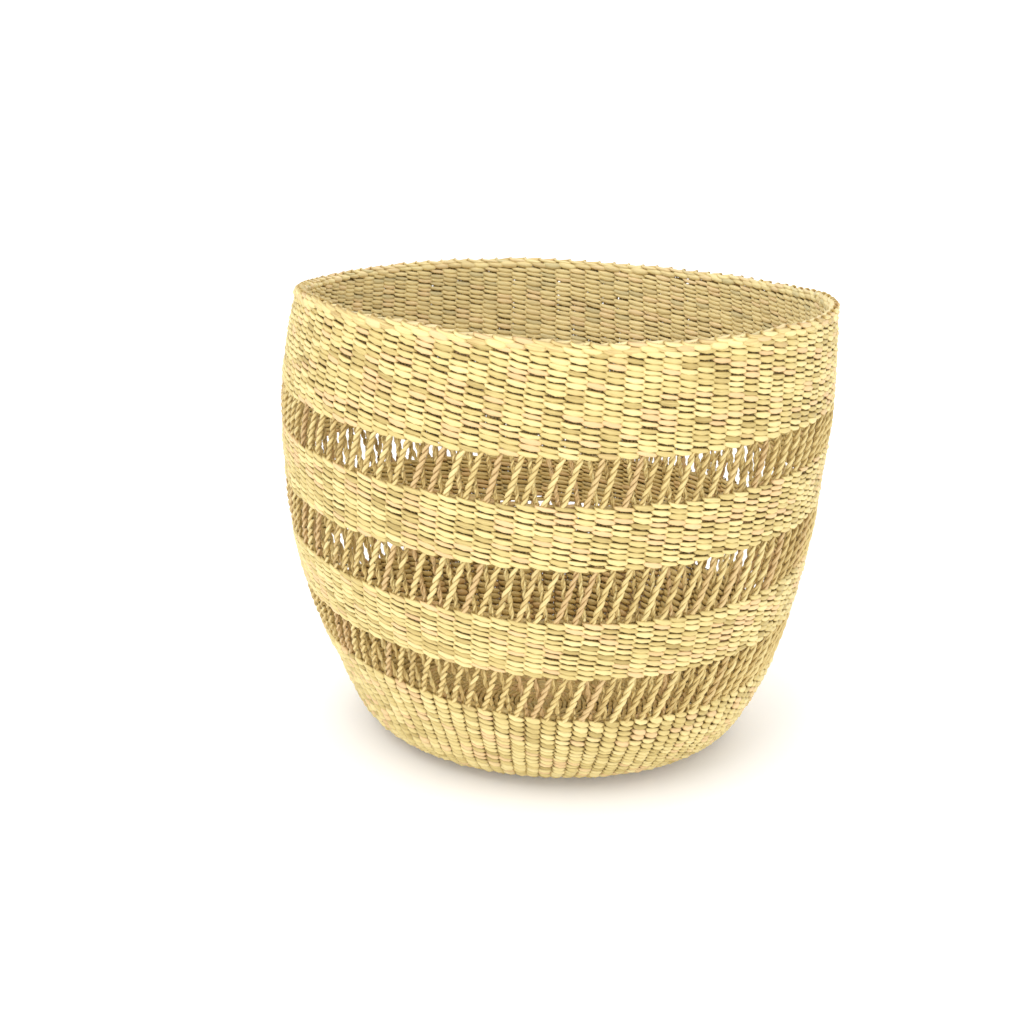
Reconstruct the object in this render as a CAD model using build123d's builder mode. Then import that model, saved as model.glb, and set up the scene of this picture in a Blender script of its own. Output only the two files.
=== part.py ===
"""Round grass basket with a flat base, a swelling wall and a rolled rim.

Pairs of straw stakes rise from the base to the rim. Four closed bands are twined round them: the two
weavers of each round clasp the stakes from outside and from inside. Between the closed bands the pairs part
in three openwork bands: one stake, twisted into a cord, leans to the right in front, and the other leans to
the left behind it.

Millimetres, +Z up, the origin at the middle of the underside. Each piece is modelled where it lies.
"""

import math
import os

from build123d import *

# The body's outside: a flat base, a corner arc, a long wall arc up to the belly and a shoulder arc to the rim.
overall_height = 254.5
belly_radius = 160.0
belly_height = 187.0
wall_arc_radius = 350.0
shoulder_arc_radius = 400.0
base_corner_radius = 40.0

# The straw.
weaver_thickness = 2.0
stake_diameter = 2.3
stake_gap = 0.25
front_cord_diameter = 3.2
back_stake_diameter = 2.0
rim_core_diameter = 2.4
rim_wrap_thickness = 1.7
rim_slot_width = 0.8

# How the straw lies: the play between layers, and how far the columns drift to the right in each openwork
# band, as a share of the pitch between columns.
layer_play = 0.05
crossing_play = 0.15
column_drift = 0.25

# The bands, from the ground up. The top band takes what is left under the rim.
foot_band_height = 62.5
low_openwork_height = 26.4
lower_band_height = 31.0
middle_openwork_height = 27.7
middle_band_height = 31.6
upper_openwork_height = 22.5

# Where the corner arc meets the wall arc, as an angle under the horizontal, and the flat base that is left.
corner_angle = math.degrees(
    math.asin((belly_height - base_corner_radius) / (wall_arc_radius - base_corner_radius))
)
base_radius = (
    belly_radius
    - wall_arc_radius
    + (wall_arc_radius - base_corner_radius) * math.cos(math.radians(corner_angle))
)

# The layers of the wall, as depths under its outside.
stake_near = weaver_thickness + layer_play
stake_depth = stake_near + stake_diameter / 2
stake_far = stake_near + stake_diameter
inner_near = stake_far + layer_play
wall_thickness = inner_near + weaver_thickness
front_cord_depth = layer_play + front_cord_diameter / 2
back_stake_depth = front_cord_depth + front_cord_diameter / 2 + crossing_play + back_stake_diameter / 2

# The stakes: as many pairs as lie side by side round the edge of the base, and a whole third of that number
# of spokes at the middle, each of which two more join further out.
stake_pitch = stake_diameter + stake_gap
spokes_per_first_spoke = 3
first_spoke_count = math.floor(2 * math.pi * base_radius / (2 * stake_pitch) / spokes_per_first_spoke)
pair_count = first_spoke_count * spokes_per_first_spoke
column_angle = 360 / pair_count
knot_radius = first_spoke_count * stake_pitch / (2 * math.pi)
added_spoke_radius = pair_count * stake_pitch / (2 * math.pi)

# The rim: a core laid along the top of the stakes, inside a row of wraps.
rim_wrap_radius = rim_core_diameter / 2 + layer_play + rim_wrap_thickness
rim_height = 2 * rim_wrap_radius
rim_axis_height = overall_height - rim_wrap_radius
top_band_top = overall_height - rim_height

# The bands' lower and upper edges.
foot_band = (0.0, foot_band_height)
low_openwork = (foot_band[1], foot_band[1] + low_openwork_height)
lower_band = (low_openwork[1], low_openwork[1] + lower_band_height)
middle_openwork = (lower_band[1], lower_band[1] + middle_openwork_height)
middle_band = (middle_openwork[1], middle_openwork[1] + middle_band_height)
upper_openwork = (middle_band[1], middle_band[1] + upper_openwork_height)
top_band = (upper_openwork[1], top_band_top)


def wall_radius(height, depth):
    """The radius, at a height over the corner arc, of the surface that lies `depth` under the outside."""
    arc = shoulder_arc_radius if height > belly_height else wall_arc_radius
    return belly_radius - arc + math.sqrt((arc - depth) ** 2 - (height - belly_height) ** 2)


def wall_point(height, depth, angle):
    """A point of that surface, at an angle round the basket in degrees."""
    radius = wall_radius(height, depth)
    turn = math.radians(angle)
    return Vector(radius * math.cos(turn), radius * math.sin(turn), height)


def pair_half_angle(height):
    """How far a stake of a pair stands to one side of its column, in degrees round the basket."""
    return math.degrees(math.asin(stake_pitch / 2 / wall_radius(height, stake_depth)))


def wall_line(depth):
    """Draws, in the open line, the wall `depth` under its outside, from the flat base to the full height."""
    top_angle = math.degrees(
        math.asin((overall_height - belly_height) / (shoulder_arc_radius - depth))
    )
    corner = CenterArc(
        (base_radius, base_corner_radius), base_corner_radius - depth, -90, 90 - corner_angle
    )
    CenterArc(
        (belly_radius - wall_arc_radius, belly_height),
        wall_arc_radius - depth,
        -corner_angle,
        corner_angle,
    )
    shoulder = CenterArc(
        (belly_radius - shoulder_arc_radius, belly_height), shoulder_arc_radius - depth, 0, top_angle
    )
    return corner, shoulder


def weave_shell(band, near, far):
    """One layer of a closed band, between two depths and the band's edges."""
    low, high = band
    with BuildPart() as shell:
        with BuildSketch(Plane.XZ):
            with BuildLine():
                near_corner, near_shoulder = wall_line(near)
                far_corner, far_shoulder = wall_line(far)
                Line(near_corner @ 0, far_corner @ 0)
                Line(near_shoulder @ 1, far_shoulder @ 1)
            make_face()
            with Locations((belly_radius, (low + high) / 2)):
                Rectangle(2 * belly_radius, high - low, mode=Mode.INTERSECT)
        revolve(axis=Axis.Z)
    return shell.part


def stake_arc(plane, place, centre, side, direction, turn):
    """A length of stake bent along one arc: a round section on `plane`, turned about the arc's centre."""
    with BuildSketch(plane) as section:
        with Locations(place):
            Circle(stake_diameter / 2)
    axis = Axis((centre[0], side, centre[1]), (0, direction, 0))
    revolve(section.sketch, axis=axis, revolution_arc=turn)


def band_stake(band, side):
    """One stake where it runs inside a closed band, `side` off the middle of its column."""
    low, high = band
    belly_plane = Plane.XY.offset(belly_height)
    belly_place = (belly_radius - stake_depth, side)
    wall_centre = (belly_radius - wall_arc_radius, belly_height)
    shoulder_centre = (belly_radius - shoulder_arc_radius, belly_height)
    with BuildPart() as stake:
        if low < base_corner_radius:
            corner_centre = (base_radius, base_corner_radius)
            base_plane = Plane.YZ.offset(base_radius)
            stake_arc(base_plane, (side, stake_depth), corner_centre, side, -1, 90 - corner_angle)
        if low < belly_height:
            stake_arc(belly_plane, belly_place, wall_centre, side, 1, corner_angle)
        if high > belly_height:
            stake_arc(belly_plane, belly_place, shoulder_centre, side, -1, corner_angle)
        if low > 0:
            split(bisect_by=Plane.XY.offset(low), keep=Keep.TOP)
        split(bisect_by=Plane.XY.offset(high), keep=Keep.BOTTOM)
    return stake.part


def openwork_rod(band, depth, diameter, foot_angle, top_angle):
    """A straight rod leaning across an openwork band, cut level with the closed bands that hold it."""
    low, high = band
    foot = wall_point(low, depth, foot_angle)
    lean = wall_point(high, depth, top_angle) - foot
    spare = lean.normalized() * diameter
    with BuildPart() as rod:
        with BuildSketch(Plane(origin=foot - spare, z_dir=lean)):
            Circle(diameter / 2)
        extrude(amount=lean.length + 2 * spare.length)
        split(bisect_by=Plane.XY.offset(low), keep=Keep.TOP)
        split(bisect_by=Plane.XY.offset(high), keep=Keep.BOTTOM)
    return rod.part


def round_the_basket(pieces, count, start_angle):
    """Copies of some pieces, spaced evenly round the axis."""
    with BuildPart() as ring:
        with PolarLocations(0, count, start_angle):
            for piece in pieces:
                add(piece, clean=False)
    return ring.part


def write(part, name):
    part.label = name
    export_step(part, f"parts/{name}.step")


os.makedirs("parts", exist_ok=True)

# The base: a knot where the first spokes cross, then twined rounds over and under the spokes.
with BuildPart() as base_knot:
    Cylinder(knot_radius, wall_thickness, align=(Align.CENTER, Align.CENTER, Align.MIN))
write(base_knot.part, "base_knot")


def base_disc(height):
    """A layer of the base's weave, one weaver thick, whose underside is at `height`."""
    with BuildPart() as disc:
        with BuildSketch(Plane.XY.offset(height)):
            Circle(base_radius - layer_play)
            Circle(knot_radius + layer_play, mode=Mode.SUBTRACT)
        extrude(amount=weaver_thickness)
    return disc.part


write(base_disc(0), "base_under_weave")
write(base_disc(inner_near), "base_upper_weave")


def spoke(start, end):
    """One spoke of the base, between the two layers of weave."""
    with BuildPart() as rod:
        with BuildSketch(Plane.YZ.offset(start)):
            with Locations((0, stake_depth)):
                Circle(stake_diameter / 2)
        extrude(amount=end - start)
    return rod.part


first_spoke = spoke(knot_radius + layer_play, added_spoke_radius)
added_spoke = spoke(added_spoke_radius + layer_play, base_radius - layer_play)
write(round_the_basket([first_spoke], first_spoke_count, 0), "base_first_spokes")
write(round_the_basket([added_spoke], pair_count, 0), "base_added_spokes")

# The closed bands: an outer and an inner layer of weave, and the pairs of stakes between them. Each openwork
# band turns the columns above it by the drift.
closed_bands = {"foot": foot_band, "lower": lower_band, "middle": middle_band, "top": top_band}
for storey, (name, band) in enumerate(closed_bands.items()):
    write(weave_shell(band, 0, weaver_thickness), f"{name}_band_outer_weave")
    write(weave_shell(band, inner_near, wall_thickness), f"{name}_band_inner_weave")
    pair = [band_stake(band, side) for side in (stake_pitch / 2, -stake_pitch / 2)]
    turned = storey * column_drift * column_angle
    write(round_the_basket(pair, pair_count, turned), f"{name}_band_stakes")

# The openwork bands: each column's front cord leans to the column on its right, and its back stake to the
# column on its left.
openwork_bands = {"low": low_openwork, "middle": middle_openwork, "upper": upper_openwork}
for storey, (name, band) in enumerate(openwork_bands.items()):
    foot_side = pair_half_angle(band[0])
    top_side = pair_half_angle(band[1])
    drift = column_drift * column_angle
    front_cord = openwork_rod(
        band, front_cord_depth, front_cord_diameter, foot_side, column_angle - top_side + drift
    )
    back_stake = openwork_rod(
        band, back_stake_depth, back_stake_diameter, -foot_side, top_side - column_angle + drift
    )
    turned = storey * drift
    write(round_the_basket([front_cord], pair_count, turned), f"{name}_openwork_front_cords")
    write(round_the_basket([back_stake], pair_count, turned), f"{name}_openwork_back_stakes")

# The rim: the stakes' ends laid round as a core, in a roll of wraps that is open where it sits on the weave.
rim_radius = wall_radius(top_band_top, wall_thickness / 2)
rim_centre = (rim_radius, rim_axis_height)
with BuildPart() as rim_core:
    with BuildSketch(Plane.XZ):
        with Locations(rim_centre):
            Circle(rim_core_diameter / 2)
    revolve(axis=Axis.Z)
write(rim_core.part, "rim_core")

with BuildPart() as rim_roll:
    with BuildSketch(Plane.XZ):
        with Locations(rim_centre):
            Circle(rim_wrap_radius)
            Circle(rim_core_diameter / 2 + layer_play, mode=Mode.SUBTRACT)
            Rectangle(
                rim_slot_width, rim_wrap_radius, align=(Align.CENTER, Align.MAX), mode=Mode.SUBTRACT
            )
    revolve(axis=Axis.Z)
write(rim_roll.part, "rim_roll")

print("stake pairs", pair_count, "flat base radius", round(base_radius, 1), "rim radius", round(rim_radius, 1))
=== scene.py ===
import math

import bpy
import numpy as np
from mathutils import Matrix, Vector


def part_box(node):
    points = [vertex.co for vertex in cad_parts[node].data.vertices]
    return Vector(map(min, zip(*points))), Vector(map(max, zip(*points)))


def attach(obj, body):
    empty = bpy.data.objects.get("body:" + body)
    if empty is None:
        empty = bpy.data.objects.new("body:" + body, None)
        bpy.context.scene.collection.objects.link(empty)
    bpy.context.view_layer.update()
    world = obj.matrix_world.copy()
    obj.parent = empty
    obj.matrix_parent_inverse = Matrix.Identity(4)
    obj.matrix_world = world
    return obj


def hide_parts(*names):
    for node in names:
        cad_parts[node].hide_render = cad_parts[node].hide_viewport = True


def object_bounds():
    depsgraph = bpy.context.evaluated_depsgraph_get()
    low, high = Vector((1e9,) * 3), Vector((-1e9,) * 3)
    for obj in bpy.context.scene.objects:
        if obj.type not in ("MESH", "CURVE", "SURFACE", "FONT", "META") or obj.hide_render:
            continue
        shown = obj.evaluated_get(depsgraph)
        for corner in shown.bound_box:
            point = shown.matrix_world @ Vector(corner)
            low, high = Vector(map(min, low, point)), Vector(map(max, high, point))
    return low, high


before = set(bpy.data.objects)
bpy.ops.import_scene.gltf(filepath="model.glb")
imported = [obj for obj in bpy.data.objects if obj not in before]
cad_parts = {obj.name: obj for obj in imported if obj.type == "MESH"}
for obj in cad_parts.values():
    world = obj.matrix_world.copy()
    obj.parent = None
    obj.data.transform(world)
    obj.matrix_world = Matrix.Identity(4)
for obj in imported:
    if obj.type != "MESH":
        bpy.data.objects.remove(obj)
cad_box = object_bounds()


# The closed bands. Two weavers of dried grass, each a few flattened straws thick, are twined round pairs of
# stakes: at every pair one weaver passes in front and the other behind, and they change over between pairs.
# The rounds climb from the edge of the base in one long spiral, beaten down tight on each other.

stake_pairs = 102
wall_thickness = 0.0064
base_radius = 0.08293
corner_radius = 0.040
wall_arc_radius = 0.350
shoulder_arc_radius = 0.400
belly_height = 0.187
belly_radius = (cad_box[1][0] - cad_box[0][0]) / 2
corner_angle = math.asin((belly_height - corner_radius) / (wall_arc_radius - corner_radius))


class Flow:
    """A value in a node tree; arithmetic on it adds the Math nodes that work out the result."""

    def __init__(self, socket):
        self.socket = socket

    @staticmethod
    def node(tree, kind, settings=None, sockets=None, out=0):
        """Adds a node, sets its settings, fills its sockets with values or links, and gives one output."""
        node = tree.nodes.new(kind)
        for name, value in (settings or {}).items():
            if name == "stops":
                ramp = node.color_ramp
                while len(ramp.elements) < len(value):
                    ramp.elements.new(0.5)
                for stop, (place, colour) in zip(ramp.elements, value):
                    stop.position = place
                    stop.color = (*colour, 1.0)
            else:
                setattr(node, name, value)
        for key, value in (sockets or {}).items():
            if isinstance(value, Flow):
                tree.links.new(value.socket, node.inputs[key])
            else:
                node.inputs[key].default_value = value
        return Flow(node.outputs[out])

    def out(self, name):
        return Flow(self.socket.node.outputs[name])

    def maths(self, operation, *others):
        terms = dict(enumerate((self, *others)))
        return Flow.node(self.socket.id_data, "ShaderNodeMath", {"operation": operation}, terms)

    def __add__(self, other):
        return self.maths("ADD", other)

    __radd__ = __add__

    def __mul__(self, other):
        return self.maths("MULTIPLY", other)

    __rmul__ = __mul__

    def __sub__(self, other):
        return self.maths("SUBTRACT", other)

    def __rsub__(self, other):
        return (self * -1.0).maths("ADD", other)

    def __truediv__(self, other):
        return self.maths("DIVIDE", other)

    def __pow__(self, other):
        return self.maths("POWER", other)


def wall_run(low, high, spare=0.0):
    """Evenly spaced points up the middle of the wall, from one height to another, with a spare length."""
    runs = (
        (base_radius, corner_radius, corner_radius, -math.pi / 2, -corner_angle),
        (belly_radius - wall_arc_radius, belly_height, wall_arc_radius, -corner_angle, 0.0),
        (belly_radius - shoulder_arc_radius, belly_height, shoulder_arc_radius, 0.0, 0.2),
    )
    points = []
    for centre, height, radius, start, end in runs:
        bend = np.linspace(start, end, 200)
        reach = radius - wall_thickness / 2
        points.append(np.stack([centre + reach * np.cos(bend), height + reach * np.sin(bend)], axis=1))
    points = np.concatenate(points)
    length = np.concatenate([[0.0], np.cumsum(np.hypot(*np.diff(points, axis=0).T))])
    first = np.interp(low, points[:, 1], length) - spare
    last = np.interp(high, points[:, 1], length) + spare
    along = np.linspace(first, last, 60)
    return [(np.interp(s, length, points[:, 0]), 0.0, np.interp(s, length, points[:, 1])) for s in along]


def guide(points):
    """A curve that a tree of nodes follows round the basket."""
    curve = bpy.data.curves.new("guide", "CURVE")
    curve.dimensions = "3D"
    spline = curve.splines.new("POLY")
    spline.points.add(len(points) - 1)
    for point, place in zip(spline.points, points):
        point.co = (*place, 1.0)
    path = bpy.data.objects.new("guide", curve)
    bpy.context.collection.objects.link(path)
    return path


def open_tree(name, inputs):
    """A Geometry Nodes tree with named inputs, given back with a lookup of them."""
    tree = bpy.data.node_groups.new(name, "GeometryNodeTree")
    for label, kind in inputs.items():
        tree.interface.new_socket(label, in_out="INPUT", socket_type=f"NodeSocket{kind}")
    tree.interface.new_socket("Straw", in_out="OUTPUT", socket_type="NodeSocketGeometry")
    given = tree.nodes.new("NodeGroupInput")
    return tree, {label: Flow(given.outputs[label]) for label in inputs}


def wall_point(tree, wall, share, turn, outward, upward, sideways):
    """A place on the wall: a share of the way up the guide, turned round the axis, and moved off it."""
    here = Flow.node(
        tree, "GeometryNodeSampleCurve", {"mode": "FACTOR"}, {"Curves": wall, "Factor": share}, "Position"
    )
    place = Flow.node(tree, "ShaderNodeSeparateXYZ", {}, {0: here})
    climb = Flow.node(tree, "ShaderNodeSeparateXYZ", {}, {0: here.out("Tangent")})
    radius = place + climb.out("Z") * outward + climb * upward
    height = place.out("Z") - climb * outward + climb.out("Z") * upward
    bearing = turn + sideways / radius
    x, y = radius * bearing.maths("COSINE"), radius * bearing.maths("SINE")
    return Flow.node(tree, "ShaderNodeCombineXYZ", {}, {"X": x, "Y": y, "Z": height})


def scatter(tree, number, seed):
    """A random value from -1 to 1 for each whole number."""
    return Flow.node(
        tree, "FunctionNodeRandomValue", {"data_type": "FLOAT"}, {2: -1.0, 3: 1.0, 7: number, 8: seed}, 1
    )


def label(tree, geometry, name, kind, value):
    return Flow.node(
        tree,
        "GeometryNodeStoreNamedAttribute",
        {"data_type": kind, "domain": "POINT"},
        {"Geometry": geometry, "Name": name, "Value": value},
    )


def straw_skin(tree, strand, sides, thickness, height, scale, material):
    """Clothes a strand's line in a flattened round skin, and ends the tree."""
    ring = Flow.node(tree, "GeometryNodeCurvePrimitiveCircle", {}, {"Resolution": sides, "Radius": 1.0})
    edge = Flow.node(tree, "GeometryNodeInputPosition")
    ring = label(tree, ring, "side", "FLOAT_VECTOR", edge)
    edge = Flow.node(tree, "ShaderNodeSeparateXYZ", {}, {0: edge})
    flat = Flow.node(
        tree, "ShaderNodeCombineXYZ", {}, {"X": edge * thickness, "Y": edge.out("Y") * height}
    )
    ring = Flow.node(tree, "GeometryNodeSetPosition", {}, {"Geometry": ring, "Position": flat})
    strand = Flow.node(tree, "GeometryNodeSetCurveNormal", {"mode": "Z_UP"}, {"Curve": strand})
    skin = Flow.node(
        tree,
        "GeometryNodeCurveToMesh",
        {},
        {"Curve": strand, "Profile Curve": ring, "Scale": scale, "Fill Caps": True},
    )
    skin = Flow.node(tree, "GeometryNodeSetShadeSmooth", {}, {"Geometry": skin})
    skin = Flow.node(tree, "GeometryNodeRealizeInstances", {}, {"Geometry": skin})
    skin = Flow.node(tree, "GeometryNodeSetMaterial", {}, {"Geometry": skin, "Material": material})
    end = tree.nodes.new("NodeGroupOutput")
    tree.links.new(skin.socket, end.inputs[0])


def twining_tree():
    """One weaver's line: it swings out and in past the stakes and rises and falls past its partner."""
    tree, given = open_tree(
        "twining",
        {
            "Wall": "Object",
            "Columns": "Int",
            "Rounds": "Float",
            "Steps": "Int",
            "Strand": "Float",
            "Turned": "Float",
            "Swing": "Float",
            "Slant": "Float",
            "Reach": "Float",
            "Sag": "Float",
            "Thickness": "Float",
            "Height": "Float",
            "Neck": "Float",
            "Taper": "Float",
            "Column lean": "Float",
            "Unevenness": "Float",
            "Seed": "Int",
            "Straw": "Material",
        },
    )
    rounds = given["Rounds"]
    count = given["Columns"] * rounds * given["Steps"] + 1
    line = Flow.node(tree, "GeometryNodeMeshLine", {}, {"Count": count})
    line = Flow.node(tree, "GeometryNodeMeshToCurve", {}, {"Mesh": line})
    wall = Flow.node(tree, "GeometryNodeObjectInfo", {}, {"Object": given["Wall"]}, "Geometry")

    travelled = Flow.node(tree, "GeometryNodeInputIndex") / given["Steps"]
    share = travelled / given["Columns"] / rounds
    beat = (travelled + given["Strand"]) * math.pi
    reached = travelled + (beat * 2.0).maths("SINE") * given["Reach"]
    turn = (reached + given["Turned"] + given["Column lean"] * share) / given["Columns"] * (2 * math.pi)
    front = beat.maths("COSINE")
    swing = front * (1.55 - 0.55 * front * front)
    fullness = front.maths("ABSOLUTE") ** given["Taper"]
    stitch = travelled.maths("ROUND")
    own = scatter(tree, stitch, given["Seed"])
    other = scatter(tree, stitch, given["Seed"] + 7)
    third = scatter(tree, stitch, given["Seed"] + 13)

    around = Flow.node(
        tree,
        "ShaderNodeCombineXYZ",
        {},
        {"X": turn.maths("COSINE") * 5.0, "Y": turn.maths("SINE") * 5.0, "Z": share * rounds * 0.17},
    )
    waver = Flow.node(
        tree, "ShaderNodeTexNoise", {}, {"Vector": around, "Scale": 1.0, "Detail": 2.0}
    )
    waver = (waver - 0.5) * 0.0030
    uneven = given["Unevenness"]
    outward = swing * given["Swing"] + own * fullness * uneven * 0.00026
    slant = beat.maths("SINE").maths("ARCSINE") * (-2 / math.pi)
    upward = slant * given["Slant"] - front * front * given["Sag"]
    upward = upward + other * fullness * uneven * 0.00038 + waver
    place = wall_point(tree, wall, share, turn, outward, upward, third * fullness * uneven * 0.0010)
    line = label(tree, line, "along", "FLOAT", travelled * 0.0098)
    line = label(tree, line, "front", "FLOAT", front)
    line = label(tree, line, "tone", "FLOAT", own * 0.5 + 0.5)
    line = label(tree, line, "blush", "FLOAT", other * 0.5 + 0.5)
    line = Flow.node(tree, "GeometryNodeSetPosition", {}, {"Geometry": line, "Position": place})
    scale = given["Neck"] + (1.0 - given["Neck"] + third * uneven * 0.20) * fullness
    straw_skin(tree, line, 7, given["Thickness"], given["Height"], scale, given["Straw"])
    return tree


def woven(name, tree, settings):
    """Runs a tree with its named inputs filled, and gives the plain mesh object that it makes."""
    blank = bpy.data.objects.new("blank", bpy.data.meshes.new("blank"))
    bpy.context.collection.objects.link(blank)
    run = blank.modifiers.new("weave", "NODES")
    run.node_group = tree
    for item in tree.interface.items_tree:
        if item.in_out == "INPUT":
            run[item.identifier] = settings[item.name]
    view = bpy.context.evaluated_depsgraph_get()
    mesh = bpy.data.meshes.new_from_object(blank.evaluated_get(view))
    bpy.data.objects.remove(blank)
    mesh.name = name
    settle(mesh)
    piece = bpy.data.objects.new(name, mesh)
    bpy.context.collection.objects.link(piece)
    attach(piece, "root")
    return piece


def settle(mesh):
    """Leans and bows a piece as the whole soft basket has settled: nothing in it is quite round or level.

    The amounts are millimetres. All but those in the line on what lies behind come from a least-squares
    fit to the real one's outline, rim and band edges, rounded to a tenth. The ones behind are a guess.
    """
    place = np.empty(len(mesh.vertices) * 3, dtype=np.float32)
    mesh.vertices.foreach_get("co", place)
    x, y, z = place.reshape(-1, 3).astype(float).T
    share = np.clip(z / cad_box[1][2], 0.0, 1.0)
    halfway = 2 * share - 1
    bearing, radius = np.arctan2(y, x), np.hypot(x, y)
    c1, c2, c3, c4 = (np.cos(n * bearing) for n in (1, 2, 3, 4))
    s1, s2, s3, s4 = (np.sin(n * bearing) for n in (1, 2, 3, 4))

    def drift(level, slope, bow):
        return level + slope * halfway + bow * halfway**2

    rise = drift(-4.9, 3.2, 0.0) * c1 + drift(3.0, -6.8, -2.9) * s1
    rise += drift(3.4, 0.0, -1.2) * c2 + drift(0.8, -2.3, 2.6) * s2
    behind = np.clip(s1, 0, 1) ** 2
    rise += behind * (2.0 * share**8 - 6.5 * np.exp(-(((share - 0.79) / 0.1) ** 2)))
    rise += share**4 * (1.2 * c3 - 1.7 * s3 - 0.2 * c4 + 0.3 * s4)
    levels = (0.0, 0.12, 0.22, 0.42, 0.62, 0.8, 1.0)
    swell = np.interp(share, levels, (-0.7, -0.5, 0.9, -0.2, -1.6, -0.4, -0.8))
    swell += drift(-2.6, -1.5, 1.1) * c2 + drift(2.3, 0.4, -2.6) * s2
    swell += share**4 * (0.9 * c3 - 2.4 * s3 - 1.1 * c4 - 1.6 * s4)
    grip = np.clip(share * 6, 0, 1) / 1000
    radius = radius + grip * swell
    rested = np.maximum(z + grip * rise, 0.0)
    place = np.stack([radius * c1 + grip * drift(0.0, 1.2, 2.0), radius * s1, rested], axis=1)
    mesh.vertices.foreach_set("co", place.astype(np.float32).ravel())
    mesh.update()


def straw(name, stops, inner, blush, streak=0.22, roughness=0.55):
    """Dried grass: a tone for each stitch, long fibres, painted shade at the tucks and between the rows, an
    odd rosy straw, and an inner face mixed toward a given inner colour, which for the top band and rim is
    lighter as painted light.
    """
    material = bpy.data.materials.new(name)
    material.use_nodes = True
    tree = material.node_tree
    tree.nodes.clear()

    def read(attribute, out="Fac"):
        return Flow.node(tree, "ShaderNodeAttribute", {"attribute_name": attribute}, {}, out)

    side = Flow.node(tree, "ShaderNodeSeparateXYZ", {}, {0: read("side", "Vector")})
    along, tone = read("along"), read("tone")
    fibre_place = Flow.node(
        tree,
        "ShaderNodeCombineXYZ",
        {},
        {"X": side * 1.6, "Y": side.out("Y") * 1.6, "Z": along * 90.0 + tone * 40.0},
    )
    fibre = Flow.node(
        tree, "ShaderNodeTexNoise", {}, {"Vector": fibre_place, "Scale": 2.4, "Detail": 3.0}
    )
    blotch_place = Flow.node(tree, "ShaderNodeCombineXYZ", {}, {"X": along * 45.0, "Y": tone * 9.0})
    blotch = Flow.node(tree, "ShaderNodeTexNoise", {}, {"Vector": blotch_place, "Scale": 1.0, "Detail": 2.0})
    shade = tone * 0.45 + blotch * 0.5 + (fibre - 0.5) * streak * 2.0
    colour = Flow.node(tree, "ShaderNodeValToRGB", {"stops": stops}, {"Fac": shade})
    rosy = (read("blush") - 0.8).maths("MULTIPLY", 9.0).maths("MINIMUM", 0.75).maths("MAXIMUM", 0.0)
    colour = Flow.node(
        tree, "ShaderNodeMix", {"data_type": "RGBA"}, {0: rosy, 6: colour, 7: (*blush, 1.0)}, 2
    )
    front = read("front")
    # Painted shade: each strand is darkened toward a dark brown where it tucks behind a stake, and along its
    # upper and lower edges where one row meets the next.
    painted_shade = (0.80 - front.maths("ABSOLUTE")) * 1.8
    painted_row_shade = (side.out("Y").maths("ABSOLUTE") - 0.62) * 1.8
    painted_shade = painted_shade.maths("MAXIMUM", painted_row_shade).maths("MINIMUM", 0.78).maths("MAXIMUM", 0.0)
    colour = Flow.node(
        tree,
        "ShaderNodeMix",
        {"data_type": "RGBA", "blend_type": "MULTIPLY"},
        {0: painted_shade, 6: colour, 7: (0.40, 0.28, 0.08, 1.0)},
        2,
    )
    inside = ((0.25 - front) * 2.2).maths("MINIMUM", 1.0).maths("MAXIMUM", 0.0)
    olive = ((0.12 - read("blush")) * 14.0).maths("MINIMUM", 0.6).maths("MAXIMUM", 0.0) * inside
    colour = Flow.node(
        tree, "ShaderNodeMix", {"data_type": "RGBA"}, {0: olive, 6: colour, 7: (0.30, 0.27, 0.12, 1.0)}, 2
    )
    # The inner face, where the strand faces into the basket, is mixed toward the given inner colour: a
    # browner tone for the lower bands, and for the top band and rim a lighter one, which is painted light on
    # the inside.
    colour = Flow.node(
        tree, "ShaderNodeMix", {"data_type": "RGBA"}, {0: inside * 0.4, 6: colour, 7: (*inner, 1.0)}, 2
    )
    bump = Flow.node(
        tree, "ShaderNodeBump", {}, {"Strength": 0.35, "Distance": 0.00025, "Height": fibre}
    )
    surface = Flow.node(
        tree,
        "ShaderNodeBsdfPrincipled",
        {},
        {"Base Color": colour, "Roughness": roughness + (fibre - 0.5) * 0.25, "Normal": bump},
    )
    tree.links.new(surface.socket, tree.nodes.new("ShaderNodeOutputMaterial").inputs["Surface"])
    return material


dry_tones = [
    (0.12, (0.42, 0.30, 0.09)),
    (0.34, (0.70, 0.55, 0.21)),
    (0.58, (0.84, 0.69, 0.30)),
    (0.85, (0.92, 0.77, 0.38)),
]
rosy_tone = (0.84, 0.58, 0.30)
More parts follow.
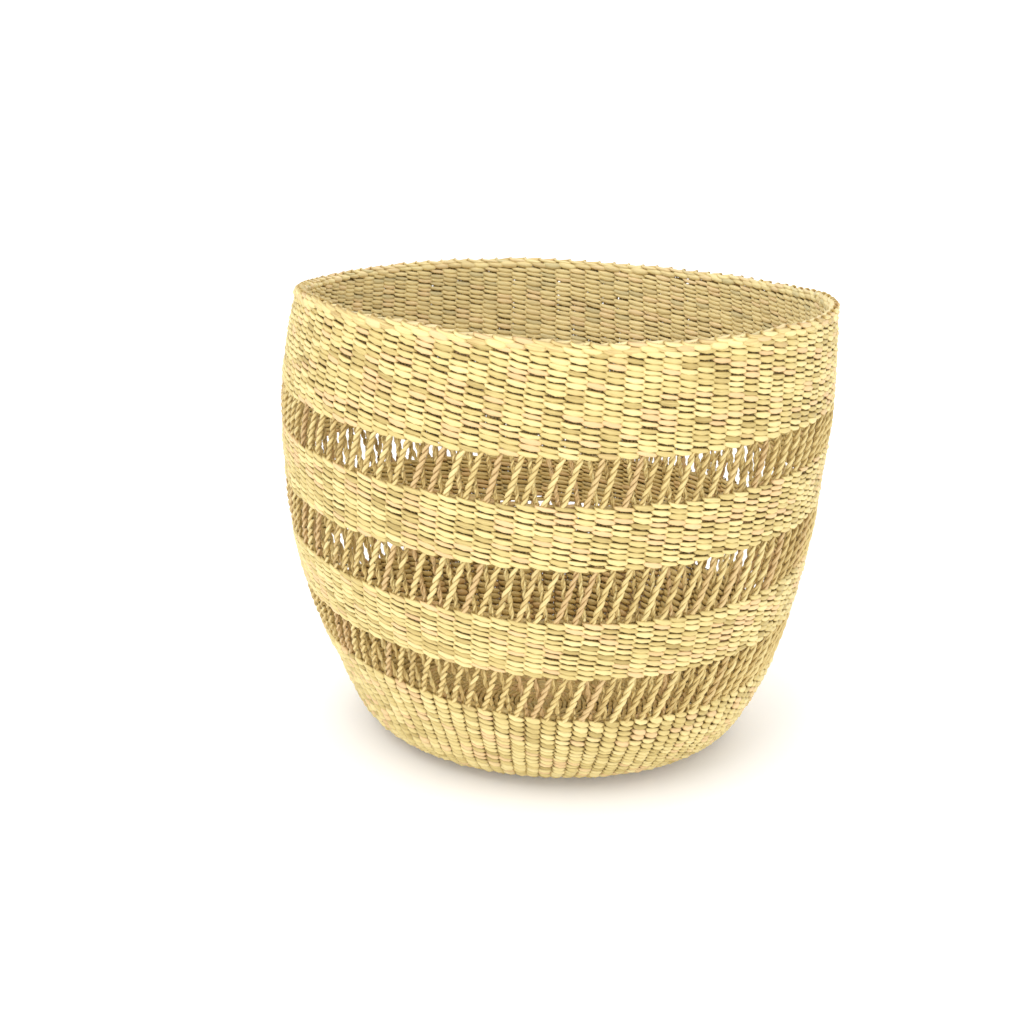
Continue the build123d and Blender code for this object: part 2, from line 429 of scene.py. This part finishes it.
# The top band's copy differs only in a lighter inner colour, painted light on the inside wall seen across the
# mouth.
weaver_straw = straw("weaver_straw", dry_tones, (0.55, 0.37, 0.13), rosy_tone)
top_weaver_straw_lit_inside = straw("top_weaver_straw_lit_inside", dry_tones, (1.0, 0.86, 0.50), rosy_tone)
twining = twining_tree()
closed_bands = {"foot": 23, "lower": 11, "middle": 11, "top": 17}
for storey, (band, rounds) in enumerate(closed_bands.items()):
    outer = f"{band}_band_outer_weave"
    low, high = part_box(outer)[0][2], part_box(outer)[1][2]
    path = guide(wall_run(max(low, wall_thickness / 2), high + (0.0012 if band == "top" else 0.0)))
    row = path.data.splines[0].calc_length() / rounds
    for strand in (0, 1):
        piece = woven(
            f"{band}_band_weaver_{strand + 1}",
            twining,
            {
                "Wall": path,
                "Columns": stake_pairs,
                "Rounds": float(rounds),
                "Steps": 6,
                "Strand": float(strand),
                "Turned": storey * 0.25,
                "Swing": 0.00165,
                "Slant": 0.0015 if band == "foot" else 0.0019,
                "Reach": 0.18 if band == "foot" else 0.31,
                "Sag": 0.0008,
                "Thickness": 0.0012,
                "Height": {"foot": 0.56, "top": 0.56}.get(band, 0.535) * row,
                "Neck": 0.18,
                "Taper": 2.8,
                "Column lean": 0.3,
                "Unevenness": 1.0,
                "Seed": storey * 10 + strand,
                "Straw": top_weaver_straw_lit_inside if band == "top" else weaver_straw,
            },
        )
        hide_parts(outer if strand else f"{band}_band_inner_weave")
    bpy.data.objects.remove(path)


# The stakes. Each pair stands upright inside the closed bands and is seen only as thin stems in the gaps
# between stitches. In the openwork it parts: one stake, twisted with a second straw, crosses to the right in
# front, and the other leans a little to the left behind it.


def stake_tree():
    """Stems round the basket, each of one or more plies laid side by side or twisted together."""
    tree, given = open_tree(
        "stakes",
        {
            "Wall": "Object",
            "Columns": "Int",
            "Plies": "Int",
            "Steps": "Int",
            "Start": "Float",
            "Lean": "Float",
            "Outward": "Float",
            "Spacing": "Float",
            "Twist": "Float",
            "Turns": "Float",
            "Ply": "Float",
            "Unevenness": "Float",
            "Seed": "Int",
            "Straw": "Material",
        },
    )
    line = Flow.node(tree, "GeometryNodeCurvePrimitiveLine", {}, {"End": (0.0, 0.0, 1.0)})
    line = Flow.node(tree, "GeometryNodeResampleCurve", {}, {"Curve": line, "Count": given["Steps"]})
    line = Flow.node(
        tree,
        "GeometryNodeDuplicateElements",
        {"domain": "SPLINE"},
        {"Geometry": line, "Amount": given["Columns"] * given["Plies"]},
    )
    number = line.out("Duplicate Index")
    column = (number / given["Plies"]).maths("FLOOR")
    ply = number - column * given["Plies"]
    wall = Flow.node(tree, "GeometryNodeObjectInfo", {}, {"Object": given["Wall"]}, "Geometry")
    share = Flow.node(tree, "GeometryNodeSplineParameter", {}, {}, "Factor")
    own = scatter(tree, column, given["Seed"])
    other = scatter(tree, column, given["Seed"] + 5)
    strand_own = scatter(tree, number, given["Seed"] + 9)
    uneven = given["Unevenness"]
    middle = (share * math.pi).maths("SINE")
    lean = given["Lean"] + own * uneven * 0.14
    turn = (column + given["Start"] + lean * share + other * uneven * 0.07) / given["Columns"] * (2 * math.pi)
    lay = (given["Turns"] * share + own * uneven * 0.5 + ply / given["Plies"]) * (2 * math.pi)
    outward = given["Outward"] * middle.maths("POWER", 0.4) + lay.maths("COSINE") * given["Twist"]
    sideways = (ply + 0.5 - given["Plies"] * 0.5) * given["Spacing"] + lay.maths("SINE") * given["Twist"]
    sideways = sideways + other * middle * uneven * 0.0005 + strand_own * uneven * 0.00012
    place = wall_point(tree, wall, share, turn, outward, share * 0.0, sideways)
    line = label(tree, line, "along", "FLOAT", share * 0.03 + column * 0.37 + ply * 0.11)
    line = label(tree, line, "front", "FLOAT", share * 0.0 + 1.0)
    line = label(tree, line, "tone", "FLOAT", strand_own * 0.3 + own * 0.2 + 0.5)
    line = label(tree, line, "blush", "FLOAT", other * 0.5 + 0.5)
    line = Flow.node(tree, "GeometryNodeSetPosition", {}, {"Geometry": line, "Position": place})
    scale = 1.0 + strand_own * uneven * 0.12 + (middle - 0.6) * 0.18
    straw_skin(tree, line, 6, given["Ply"], given["Ply"], scale, given["Straw"])
    return tree


# The stems and spokes are a very dark brown, which is partly painted shade: it darkens the gaps between the
# stitches where the stems show.
stem_straw = straw(
    "stem_straw",
    [(0.15, (0.13, 0.08, 0.02)), (0.45, (0.27, 0.18, 0.05)), (0.85, (0.50, 0.36, 0.14))],
    (0.8, 0.7, 0.5),
    (0.50, 0.33, 0.16),
)
cord_straw = straw(
    "cord_straw",
    [(0.12, (0.36, 0.23, 0.07)), (0.40, (0.72, 0.54, 0.21)), (0.85, (0.94, 0.80, 0.39))],
    (1.0, 1.0, 1.0),
    (0.68, 0.46, 0.22),
    streak=0.35,
)
stakes = stake_tree()
stem_trim = 0.0018
foot_stem_trim = 0.0024
rim_tuck = 0.0025
for storey, band in enumerate(closed_bands):
    node = f"{band}_band_stakes"
    low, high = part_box(node)[0][2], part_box(node)[1][2]
    lowest = low + (stem_trim if storey else foot_stem_trim)
    highest = high + (rim_tuck if band == "top" else -stem_trim)
    path = guide(wall_run(lowest, highest))
    piece = woven(
        node.replace("band_stakes", "band_stems"),
        stakes,
        {
            "Wall": path,
            "Columns": stake_pairs,
            "Plies": 5,
            "Steps": 10,
            "Start": storey * 0.25,
            "Lean": 0.0,
            "Outward": 0.0,
            "Spacing": 0.00188,
            "Twist": 0.0,
            "Turns": 0.0,
            "Ply": 0.00084,
            "Unevenness": 1.0,
            "Seed": storey + 40,
            "Straw": stem_straw,
        },
    )
    bpy.data.objects.remove(path)
    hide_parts(node)

openwork = {"low": (1.15, -0.55), "middle": (1.15, -0.55), "upper": (0.85, -0.65)}
for storey, (band, (front_lean, back_lean)) in enumerate(openwork.items()):
    for kind in ("front_cords", "back_stakes"):
        node = f"{band}_openwork_{kind}"
        low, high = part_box(node)[0][2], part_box(node)[1][2]
        path = guide(wall_run(low, high, 0.0022))
        forward = kind == "front_cords"
        piece = woven(
            node.replace("stakes", "stems").replace("front_cords", "front_twists"),
            stakes,
            {
                "Wall": path,
                "Columns": stake_pairs,
                "Plies": 2,
                "Steps": 22 if forward else 18,
                "Start": storey * 0.25 + (0.12 if forward else -0.13),
                "Lean": front_lean if forward else back_lean,
                "Outward": 0.0014 if forward else -0.0012,
                "Spacing": 0.0,
                "Twist": 0.00078 if forward else 0.00066,
                "Turns": 3.0 if forward else 2.6,
                "Ply": 0.00098 if forward else 0.00084,
                "Unevenness": 1.0,
                "Seed": storey + 60 + 10 * forward,
                "Straw": cord_straw,
            },
        )
        bpy.data.objects.remove(path)
        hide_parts(node)


# The base. Spokes cross in a knot at the middle and the same two weavers go round them, first in a small
# disc, then with new spokes let in, three for each old one, out to the edge where they turn up.

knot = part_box("base_knot")[1][0]
spoke_spacing = 0.00255
first_spokes = stake_pairs // 3
added_radius = stake_pairs * spoke_spacing / (2 * math.pi)
middle_height = wall_thickness / 2
base_rings = {
    "knot": (0.0008, knot, 10, 5),
    "middle": (knot, added_radius, first_spokes, 9),
    "edge": (added_radius, base_radius, stake_pairs, 14),
}
nodes_of_ring = {
    "knot": ("base_knot",),
    "middle": ("base_first_spokes", "base_upper_weave"),
    "edge": ("base_added_spokes", "base_under_weave"),
}
for number, (ring, (start, end, spokes, rounds)) in enumerate(base_rings.items()):
    path = guide([(start + (end - start) * i / 20, 0.0, middle_height) for i in range(21)])
    weavers = [
        woven(
            f"base_{ring}_weaver_{strand + 1}",
            twining,
            {
                "Wall": path,
                "Columns": spokes,
                "Rounds": float(rounds),
                "Steps": 6,
                "Strand": float(strand),
                "Turned": 0.0,
                "Swing": 0.0018,
                "Slant": 0.0006,
                "Reach": 0.1,
                "Sag": 0.0,
                "Thickness": 0.00115,
                "Height": 0.00142,
                "Neck": 0.5,
                "Taper": 0.8,
                "Column lean": 0.0,
                "Unevenness": 0.7,
                "Seed": number * 10 + strand + 100,
                "Straw": weaver_straw,
            },
        )
        for strand in (0, 1)
    ]
    spoke = woven(
        f"base_{ring}_spokes",
        stakes,
        {
            "Wall": path,
            "Columns": spokes,
            "Plies": 2,
            "Steps": 4,
            "Start": 0.0,
            "Lean": 0.0,
            "Outward": 0.0,
            "Spacing": 0.0009,
            "Twist": 0.0,
            "Turns": 0.0,
            "Ply": 0.00062,
            "Unevenness": 0.3,
            "Seed": number + 130,
            "Straw": stem_straw,
        },
    )
    bpy.data.objects.remove(path)
    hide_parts(nodes_of_ring[ring][0])
    for node in nodes_of_ring[ring][1:]:
        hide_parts(node)


# The rim. Over the last round the stakes' ends are bent along the edge and laid down round each other, two
# fat bundles turning like a rope, one showing over each pair of stakes. A thinner pair of straws is laced
# along on top of them.

rim_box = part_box("rim_core")
rim_height = (rim_box[0][2] + rim_box[1][2]) / 2
rim_radius = rim_box[1][0] - (rim_box[1][2] - rim_box[0][2]) / 2
# The rim's lighter inner colour is painted light on its inner side.
rim_straw = straw(
    "rim_straw",
    [
        (0.12, (0.50, 0.34, 0.12)),
        (0.36, (0.78, 0.60, 0.25)),
        (0.62, (0.89, 0.74, 0.33)),
        (0.88, (0.94, 0.83, 0.43)),
    ],
    (0.98, 0.85, 0.48),
    (0.82, 0.58, 0.30),
    streak=0.4,
)
rim_rows = [(-0.0006, 0.0017, 0.0020), (0.0014, 0.0013, 0.0012)]
for row, (lift, rim_thickness, rim_half_height) in enumerate(rim_rows):
    path = guide([(rim_radius, 0.0, rim_height + lift + climb) for climb in (-0.0004, 0.0004)])
    for strand in (0, 1):
        piece = woven(
            f"rim_{('bundle', 'lacing')[row]}_{strand + 1}",
            twining,
            {
                "Wall": path,
                "Columns": stake_pairs,
                "Rounds": 1.0,
                "Steps": 10,
                "Strand": float(strand),
                "Turned": 0.75 + 0.4 * row,
                "Swing": 0.0014,
                "Slant": 0.0013,
                "Reach": 0.22,
                "Sag": 0.0006,
                "Thickness": rim_thickness,
                "Height": rim_half_height,
                "Neck": 0.5,
                "Taper": 2.0,
                "Column lean": 0.0,
                "Unevenness": 1.2,
                "Seed": 150 + 2 * row + strand,
                "Straw": rim_straw,
            },
        )
        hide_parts(("rim_core", "rim_roll")[row])
    bpy.data.objects.remove(path)


# The floor, the light and the camera: a plain white studio.

floor_mesh = bpy.data.meshes.new("floor")
reach = 60.0
corners = [(-reach, -reach, 0), (reach, -reach, 0), (reach, reach, 0), (-reach, reach, 0)]
floor_mesh.from_pydata(corners, [], [(0, 1, 2, 3)])
floor = bpy.data.objects.new("floor", floor_mesh)
bpy.context.collection.objects.link(floor)
floor_paint = bpy.data.materials.new("floor_paint")
floor_paint.use_nodes = True
floor_paint.node_tree.nodes["Principled BSDF"].inputs["Base Color"].default_value = (1.0, 1.0, 1.0, 1)
floor_paint.node_tree.nodes["Principled BSDF"].inputs["Roughness"].default_value = 1.0
floor_paint.node_tree.nodes["Principled BSDF"].inputs["Emission Color"].default_value = (1.0, 1.0, 1.0, 1)
floor_paint.node_tree.nodes["Principled BSDF"].inputs["Emission Strength"].default_value = 0.12
floor_mesh.materials.append(floor_paint)

world = bpy.data.worlds.new("studio")
bpy.context.scene.world = world
world.use_nodes = True
world.node_tree.nodes["Background"].inputs["Color"].default_value = (1.0, 1.0, 1.0, 1.0)
world.node_tree.nodes["Background"].inputs["Strength"].default_value = 1.0
bpy.context.scene.view_settings.view_transform = "Standard"


def lamp(name, place, aim, size, power):
    light = bpy.data.lights.new(name, "AREA")
    light.size = size
    light.energy = power
    holder = bpy.data.objects.new(name, light)
    holder.location = place
    holder.rotation_euler = (Vector(aim) - Vector(place)).to_track_quat("-Z", "Y").to_euler()
    bpy.context.collection.objects.link(holder)


lamp("key", (-0.7, -0.9, 1.9), (0, 0, 0.1), 1.5, 15)
lamp("back", (0.6, 1.5, 1.2), (0, 0, 0.12), 1.5, 7)
lamp("fill", (0.5, -1.6, 0.35), (0, 0, 0.05), 1.2, 5)

camera_data = bpy.data.cameras.new("camera")
camera_data.lens = 63.64
camera_data.sensor_width = 36.0
camera = bpy.data.objects.new("camera", camera_data)
camera.location = (-0.0230, -1.0090, 0.4304)
camera.rotation_euler = (
    Matrix.Rotation(math.radians(90 - 16.86), 3, "X") @ Matrix.Rotation(0.0179, 3, "Z")
).to_euler()
bpy.context.collection.objects.link(camera)
bpy.context.scene.camera = camera
